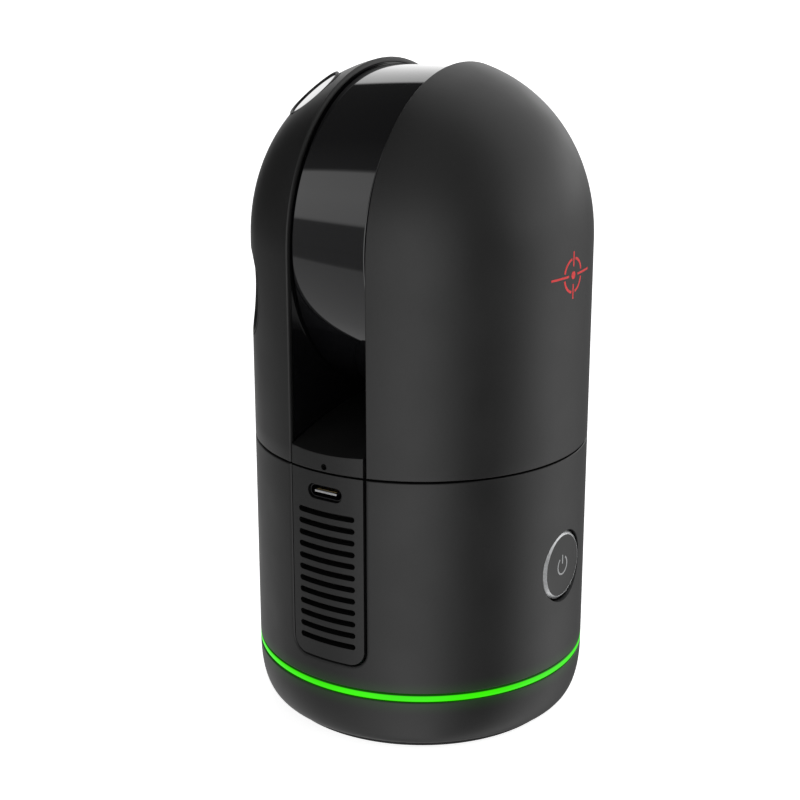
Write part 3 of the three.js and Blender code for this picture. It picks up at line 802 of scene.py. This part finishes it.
def make_vent_panel():
    through = (-R - OVERCUT, -30)
    outline = panel_outline(panel_high.x, panel_low.z, panel_high.z, PANEL_CORNER - PANEL_GAP)
    panel = prism_xz("vent_panel_casing", outline, *through)
    keep(panel, tube("rim", PANEL_INNER_R, R, panel_low.z - OVERCUT, panel_high.z + OVERCUT))
    for i in range(VENT_COUNT):
        vent = stadium(0, VENT_TOP - i * VENT_PITCH, VENT_WIDTH, VENT_HEIGHT, 8)
        cut(panel, prism_xz("vent", vent, *through))
    cut(panel, prism_xz("socket_hole", stadium(0, USB_Z, *USB_HOLE, 16), *through))
    soften(panel, 0.16, 2, 40)
    dress(panel, "base", "casing", stands_for="vent_panel")


def make_usb_port():
    """A dark shell with a bright tongue that carries a row of contacts."""
    port = prism_xz("usb_shell", stadium(0, USB_Z, *USB_SHELL, 20), usb_low.y, usb_high.y)
    cut(port, prism_xz("usb_room", stadium(0, USB_Z, *USB_ROOM, 20), -R - OVERCUT,
                       usb_high.y - 1))
    dress(soften(port, 0.08, 2), "base", "steel", shell_look, stands_for="usb_c_port")
    half_x, half_z = TONGUE_HALF
    tongue = block("usb_tongue", (-half_x, TONGUE_Y, USB_Z - half_z),
                   (half_x, usb_high.y - 0.8, USB_Z + half_z))
    dress(soften(tongue, 0.12, 2), "base", "steel", looks["aluminium"])
    for i in range(CONTACT_COUNT):
        x = CONTACT_PITCH * (i - (CONTACT_COUNT - 1) / 2)
        near = (x - CONTACT_HALF, TONGUE_Y + CONTACT_SPAN[0], USB_Z + half_z - CONTACT_SINK)
        far = (x + CONTACT_HALF, TONGUE_Y + CONTACT_SPAN[1], USB_Z + half_z + CONTACT_RAISE)
        contact = block(f"usb_contact_{i}", near, far)
        dress(contact, "base", "brass")


def make_button():
    """A dark cap in a bright bevelled rim, with the power sign inlaid in its face."""
    face_x = button_high.x
    bevel_low = face_x - BUTTON_BEVEL
    place = Matrix.Translation((0, 0, BUTTON_Z)) @ ALONG_X
    bevel_r = BUTTON_R - BUTTON_BEVEL - 0.1
    rim = lathe("button_ring", [
        (RIM_INNER_R, RIM_BACK), (BUTTON_R, RIM_BACK), *upright(BUTTON_R, RIM_BACK, bevel_low),
        (BUTTON_R, bevel_low), (bevel_r, face_x), (RIM_INNER_R, face_x - 0.2),
    ], SMALL_SIDES, True, place)
    dress(soften(rim), "power_button", "button", rim_look)
    cap_r = bevel_r - 0.02
    back, front, flange_r = CAP_FLANGE
    lip_x = face_x - CAP_LIP
    cap = lathe("button_cap", [
        (0, back), (flange_r, back), (flange_r, front), (CAP_STEM_R, front),
        (CAP_STEM_R, lip_x), (cap_r, lip_x),
        *arc(cap_r - CAP_EDGE, face_x - CAP_EDGE, CAP_EDGE, 0, 90, 3), (0, face_x),
    ], SMALL_SIDES, False, place)
    dress(soften(cap, angle=20), "power_button", "button", stands_for="power_button")
    # The sign: most of a ring, open at the top, and a bar through its gap.
    bottom, top = face_x - SIGN_DEPTH, face_x + SIGN_RAISE
    inner, outer = SIGN_R
    outline = arc(0, 0, outer, 125, 415, 40) + arc(0, 0, inner, 415, 125, 40)
    sign = loft("power_sign_ring", [[(x, y, BUTTON_Z + z) for y, z in outline]
                                    for x in (bottom, top)])
    dress(soften(sign), "power_button", "button", icon_look)
    bar = block("power_sign_bar", (bottom, -SIGN_BAR_HALF, BUTTON_Z + SIGN_BAR_SPAN[0]),
                (top, SIGN_BAR_HALF, BUTTON_Z + SIGN_BAR_SPAN[1]))
    dress(soften(bar), "power_button", "button", icon_look)


make_foot()
make_pad()
make_led_ring()
make_base_shell()
make_vent_panel()
make_usb_port()
make_button()


# ---- Turret ---------------------------------------------------------------------------------
def casing_form(name, inset=0.0, sides=SIDES, steps=48, bottom=None):
    """A solid of the turret's outer form, shrunk by inset."""
    low = pod_low.z if bottom is None else bottom
    r = R - inset
    dome = [(across, DOME_Z + rise)
            for across, rise in quarter(r, DOME_H - inset, DOME_POWER, steps)]
    edge = arc(r - EDGE, low + EDGE, EDGE, -90, 0, 4) if inset == 0 else [(r, low)]
    return lathe(name, [(0, low), *edge, *upright(r, edge[-1][1], DOME_Z), *dome], sides)


def wall_outline(inset, bottom, steps=96):
    """The turret's outline in the plane of the slot's wall, shrunk by inset, as (y, z) pairs."""
    reach = math.sqrt((R - inset) ** 2 - SLOT_HALF ** 2)
    arch = []
    for i in range(steps + 1):
        y = reach * math.cos(math.pi * i / steps)
        slope = min(1.0, math.hypot(y, SLOT_HALF) / (R - inset))
        rise = (1 - slope ** DOME_POWER) ** (1 / DOME_POWER)
        arch.append((y, DOME_Z + (DOME_H - inset) * rise))
    return [(-reach, bottom), (reach, bottom), *arch]


def edge_tool(side):
    """A loft whose near end is rounded, which takes the edge off a pod beside the slot."""
    bottom = pod_low.z - OVERCUT
    rings = []
    for i in range(6):
        angle = math.pi / 2 * i / 5
        x = SLOT_HALF + POD_EDGE * (1 - math.cos(angle))
        outline = wall_outline(POD_EDGE * (1 - math.sin(angle)), bottom)
        rings.append([(side * x, y, z) for y, z in outline])
    rings.append([(side * OUTSIDE, y, z) for y, z in wall_outline(0, bottom)])
    return loft("edge_tool", rings)


def hub_room():
    """The space that the turntable and its hub take up."""
    return add(rod("hub_room", PLATE_R, ROOM_BOTTOM, PLATE_TOP),
               rod("hub", HUB_R, ROOM_BOTTOM - 1, HUB_TOP))


def round_hole(r, x0, x1):
    """Cuts a hole along the mirror's axis."""
    return rod("bore", r, x0, x1, matrix=Matrix.Translation((0, 0, MIRROR_Z)) @ ALONG_X)


def make_pod(name, side, stands_for, holes):
    bottom = pod_low.z - OVERCUT
    pod = casing_form(name)
    keep(pod, edge_tool(side))
    room = casing_form("room", POD_WALL, SMALL_SIDES, 24, bottom)
    keep(room, block("half", (side * (SLOT_HALF + WALL), -OUTSIDE, 0),
                     (side * OUTSIDE, OUTSIDE, DOME_Z + OUTSIDE)))
    recess = prism_yz("recess", wall_outline(LINER_INSET, bottom),
                      side * (SLOT_HALF - 1), side * (SLOT_HALF + LINER_RECESS))
    cut(pod, room, recess, hub_room(), *holes)
    dress(soften(pod, angle=32), "turret", "casing", stands_for=stands_for)


def make_liner(name, side, stands_for, hole_r):
    outline = wall_outline(LINER_INSET + LINER_GAP, pod_low.z + 0.1)
    liner = prism_yz(name, outline, side * liner_low.x, side * liner_high.x)
    cut(liner, round_hole(hole_r, -30, 30), hub_room())
    dress(soften(liner, angle=30), "turret", "gloss_black", stands_for=stands_for)


def camera_matrix(turn, tilt, centre):
    """Places a camera's own frame, whose Z looks out of the pod."""
    out = Vector((-math.cos(turn) * math.cos(tilt), math.sin(turn) * math.cos(tilt),
                  math.sin(tilt)))
    side = Vector((0, 0, 1)).cross(out).normalized()
    up = out.cross(side)
    matrix = Matrix((side, up, out)).transposed().to_4x4()
    return Matrix.Translation(centre) @ matrix


def camera_places():
    """Each camera's end, kind and matrix."""
    for end, front in (("front", -1), ("rear", 1)):
        low, high = LOWER_TURN * front, UPPER_TURN * front
        yield end, "lower", camera_matrix(
            low, 0, (-R * math.cos(low), R * math.sin(low), LOWER_Z))
        yield end, "upper", camera_matrix(
            high + UPPER_FACE * front, UPPER_TILT,
            (-UPPER_R * math.cos(high), UPPER_R * math.sin(high), UPPER_Z))


def camera_holes():
    return [rod("camera_hole", HOLE_R[kind], -CAMERA_DEPTH, CAMERA_DEPTH, matrix=matrix)
            for _, kind, matrix in camera_places()]


def make_cameras():
    """A bezel and a window for each camera. The lower bezels end flush with the casing."""
    for end, kind, matrix in camera_places():
        name = f"{kind}_{end}"
        bezel_ring = lathe(f"camera_bezel_{name}_fine", BEZELS[kind], SMALL_SIDES, True, matrix)
        if kind == "lower":
            keep(bezel_ring, casing_form("outer"))
        dress(soften(bezel_ring, angle=30), "turret", "bezel",
              stands_for=f"camera_bezel_{name}")
        r, low, high = GLASS[kind]
        crown = []
        for degrees in range(0, 90, 10):
            angle = math.radians(degrees)
            crown.append((r * math.cos(angle), high - GLASS_EDGE * (1 - math.sin(angle))))
        glass = lathe(f"camera_glass_{name}_fine", [(0, low), (r, low), *crown, (0, high)],
                      SMALL_SIDES, False, matrix)
        dress(soften(glass, angle=50), "turret", "lens_glass",
              stands_for=f"camera_glass_{name}")


def make_slot_floor():
    """An arched floor that falls to a lip at each end of the slot."""
    rise = floor_high.z - LIP_Z
    reach = R + 1

    def arch(thickness, steps=64):
        ys = [reach * (1 - 2 * i / steps) for i in range(steps + 1)]
        return [(y, floor_high.z - thickness - rise * abs(y / LIP_Y) ** FLOOR_POWER)
                for y in ys]

    outline = [(-reach, floor_low.z), (reach, floor_low.z), *arch(0)]
    floor = prism_yz("slot_floor_casing", outline, floor_low.x, floor_high.x)
    keep(floor, casing_form("outer"))
    bottom = floor_low.z - OVERCUT
    room = prism_yz("room", [(-reach, bottom), (reach, bottom), *arch(POD_WALL)], -R, R)
    keep(room, rod("inside", R - POD_WALL, bottom, floor_high.z, SIDES))
    pinhole = rod("pinhole", PINHOLE_R, R - OVERCUT, R + OVERCUT, 32,
                  Matrix.Translation((0, 0, PINHOLE_Z)) @ ALONG_Y)
    cut(floor, room, hub_room(), pinhole)
    soften(floor, 0.15, 2, 35)
    dress(floor, "turret", "casing", stands_for="slot_floor")


def make_window():
    """The window is a drum with rounded ends, open where the pods close it."""
    half = window_high.x
    shoulder = WINDOW_R - WINDOW_EDGE
    inner = WINDOW_R - WINDOW_WALL
    outer = (arc(shoulder, half - WINDOW_EDGE, WINDOW_EDGE, 90, 0, 5)
             + arc(shoulder, WINDOW_EDGE - half, WINDOW_EDGE, 0, -90, 5))
    place = Matrix.Translation((0, 0, MIRROR_Z)) @ ALONG_X
    drum = lathe("scan_window_fine", [(inner, half), *outer, (inner, -half)], SIDES, True, place)
    dress(soften(drum, angle=30), "turret", "gloss_black", window_look,
          stands_for="scan_window")


def inlay(name, rows):
    """A thin red plate bent onto the +X side of the casing, from rows of (y, z) points."""
    def bent(points, radius):
        return [(radius * math.cos(y / R), radius * math.sin(y / R), MARK_Z + z)
                for y, z in points]
    rings = [bent(row, R + MARK_RAISE) + bent(reversed(row), R - MARK_DEPTH) for row in rows]
    dress(loft(name, rings), "turret", "casing", mark_look)


def make_mark():
    """A plain survey target: a broken ring, a line through each gap and a dot."""
    for i in range(4):
        start, sweep = 90 * i + MARK_GAP, 90 - 2 * MARK_GAP
        turns = [math.radians(start + sweep * k / 24) for k in range(25)]
        inlay(f"mark_arc_{i}", [[(r * math.cos(a), r * math.sin(a)) for r in MARK_ARC]
                                for a in turns])
        cos, sin = math.cos(math.pi / 2 * i), math.sin(math.pi / 2 * i)
        span = MARK_REACH[i % 2] - MARK_LINE_START
        along = [MARK_LINE_START + span * k / 12 for k in range(13)]
        inlay(f"mark_line_{i}", [[(r * cos - w * sin, r * sin + w * cos)
                                  for w in (-MARK_LINE_HALF, 0.0, MARK_LINE_HALF)]
                                 for r in along])
    turns = [math.radians(15 * k) for k in range(-5, 6)]
    inlay("mark_dot", [[(MARK_DOT_R * math.cos(a) * w, MARK_DOT_R * math.sin(a))
                        for w in (-1.0, -0.5, 0.0, 0.5, 1.0)] for a in turns])


make_pod("right_pod_casing", 1, "right_pod_shell", [round_hole(LASER_HOLE_R, 0, 20)])
make_pod("left_pod_casing", -1, "left_pod_shell",
         [round_hole(SPINDLE_HOLE_R, -20, 0), *camera_holes()])
make_liner("right_slot_wall", 1, "right_slot_liner", LASER_HOLE_R)
make_liner("left_slot_wall", -1, "left_slot_liner", SPINDLE_HOLE_R)
make_cameras()
make_slot_floor()
make_window()
make_mark()


# ---- Carried-over CAD nodes -----------------------------------------------------------------
slot_of = {entry["node"]: entry["material_slot"] for entry in frame["record"]["subparts"]}
for node, obj in frame["nodes"].items():
    obj.data.materials.clear()
    obj.data.materials.append(filter_look if node == "dust_filter" else looks[slot_of[node]])
    obj.data.shade_smooth()
    obj.data.set_sharp_from_angle(angle=math.radians(28))


# ---- Stage and light ------------------------------------------------------------------------
STUDIO_PEAK = 2.0              # strength of the brightest part of the studio
SOFTBOX_LOW = 1.7              # strength of the softbox at its back edge
SOFTBOX_HIGH = 1.0             # and overhead
FLAG = 0.06                    # strength of the black flag straight out from the -X side
FLOOR_GLOW = 0.85
FLOOR_REACH = 6000

# How bright the studio is, as (direction in degrees, strength). HORIZON goes round from +X, and
# OVERHEAD does so above it. ARCH, on the -X side, goes from the front horizon up and over.
HORIZON = [
    (-180, 0.2), (-150, 0.3), (-110, 0.6), (-85, 1.1), (-60, 1.6), (-42, 1.05), (-30, 0.2),
    (-12, 0.03), (5, 0.2), (25, 1.1), (45, 1.3), (65, 0.6), (90, 0.15), (115, 0.4), (140, 0.3),
    (180, 0.2),
]
OVERHEAD = [
    (-180, 0.05), (-120, 0.1), (-57, 0.5), (-30, 0.25), (0, 0.2), (25, 0.45), (60, 0.9),
    (120, 1.0), (160, 0.3), (180, 0.05),
]
ARCH = [
    (-180, 1.1), (-160, 0.9), (-146, 0.7), (-120, 0.7), (-75, 0.6), (-63, 0.5), (-20.5, 0.4),
    (-19.5, 0.17), (-11.2, 0.17), (-10.8, 0.09), (-10.2, 0.09), (-9.8, 0.17), (8.4, 0.18),
    (10.4, 0.8), (28, 0.86), (45, 0.8), (47, 0.11), (70, 0.06), (128, 0.04), (131, 1.25),
    (160, 1.3), (180, 1.1),
]


def make_floor():
    """A lit white floor, which the object's gloss doesn't mirror."""
    corners = [(-1, -1), (1, -1), (1, 1), (-1, 1)]
    floor = make_object("floor", [(FLOOR_REACH * x, FLOOR_REACH * y, 0) for x, y in corners],
                        [(0, 1, 2, 3)])
    look = Look("floor_paper", (0.92, 0.92, 0.92), 0.9)
    look.tint(look.noise(3.0), (1.0, 1.0, 1.0), 0.91, 0.93)
    look.set("Emission Color", (1.0, 1.0, 1.0, 1.0))
    look.set("Emission Strength", FLOOR_GLOW)
    # The floor isn't there for a view from below, so that the scanner's underside shows.
    clear = look.nodes.new("ShaderNodeBsdfTransparent")
    sides = look.nodes.new("ShaderNodeMixShader")
    behind = look.nodes.new("ShaderNodeNewGeometry").outputs["Backfacing"]
    for socket, output in zip(sides.inputs, (behind, look.shader.outputs[0], clear.outputs[0])):
        look.links.new(output, socket)
    look.links.new(sides.outputs[0], look.nodes["Material Output"].inputs["Surface"])
    floor.data.materials.append(look.material)
    floor.visible_glossy = False


def make_studio():
    """Softboxes, flags and cards around the object, as a world. The camera sees it plain white."""
    world = bpy.data.worlds.new("studio")
    bpy.context.scene.world = world
    world.use_nodes = True
    sky = Nodes(world.node_tree)

    def strengths(angle, stops):
        turned = sky.calculate("MULTIPLY_ADD", angle, 0.5 / math.pi, 0.5)
        return sky.colors(turned, [((degrees + 180) / 360, [strength / STUDIO_PEAK] * 3)
                                   for degrees, strength in stops])

    x, y, z = sky.split(sky.nodes.new("ShaderNodeTexCoord").outputs["Generated"])
    around = sky.calculate("ARCTAN2", y, x)
    over = sky.calculate("ARCTAN2", z, sky.calculate("MULTIPLY", y, -1.0))
    front = sky.blend(sky.between(z, 0.1, 0.55), strengths(around, HORIZON),
                      strengths(around, OVERHEAD))
    softbox = sky.calculate("MULTIPLY", sky.between(over, math.radians(85), math.radians(120)),
                            sky.between(z, -0.1, 0.15))
    glow = sky.between(z, 0.05, 0.5, SOFTBOX_LOW / STUDIO_PEAK, SOFTBOX_HIGH / STUDIO_PEAK)
    front = sky.blend(softbox, front, glow)
    outward = sky.between(sky.calculate("MULTIPLY", x, -1.0), 0.72, 0.88)
    flag = sky.calculate("MULTIPLY", outward, sky.between(z, -0.4, -0.16))
    arch = sky.blend(flag, strengths(over, ARCH), FLAG / STUDIO_PEAK)
    studio = sky.blend(sky.between(x, -0.42, -0.3), arch, front)
    seen = sky.nodes.new("ShaderNodeLightPath").outputs["Is Camera Ray"]
    background = sky.nodes["Background"]
    background.inputs["Strength"].default_value = STUDIO_PEAK
    sky.links.new(sky.blend(seen, studio, 1.0 / STUDIO_PEAK), background.inputs["Color"])


make_floor()
make_studio()

scene = bpy.context.scene
scene.view_settings.view_transform = "Standard"
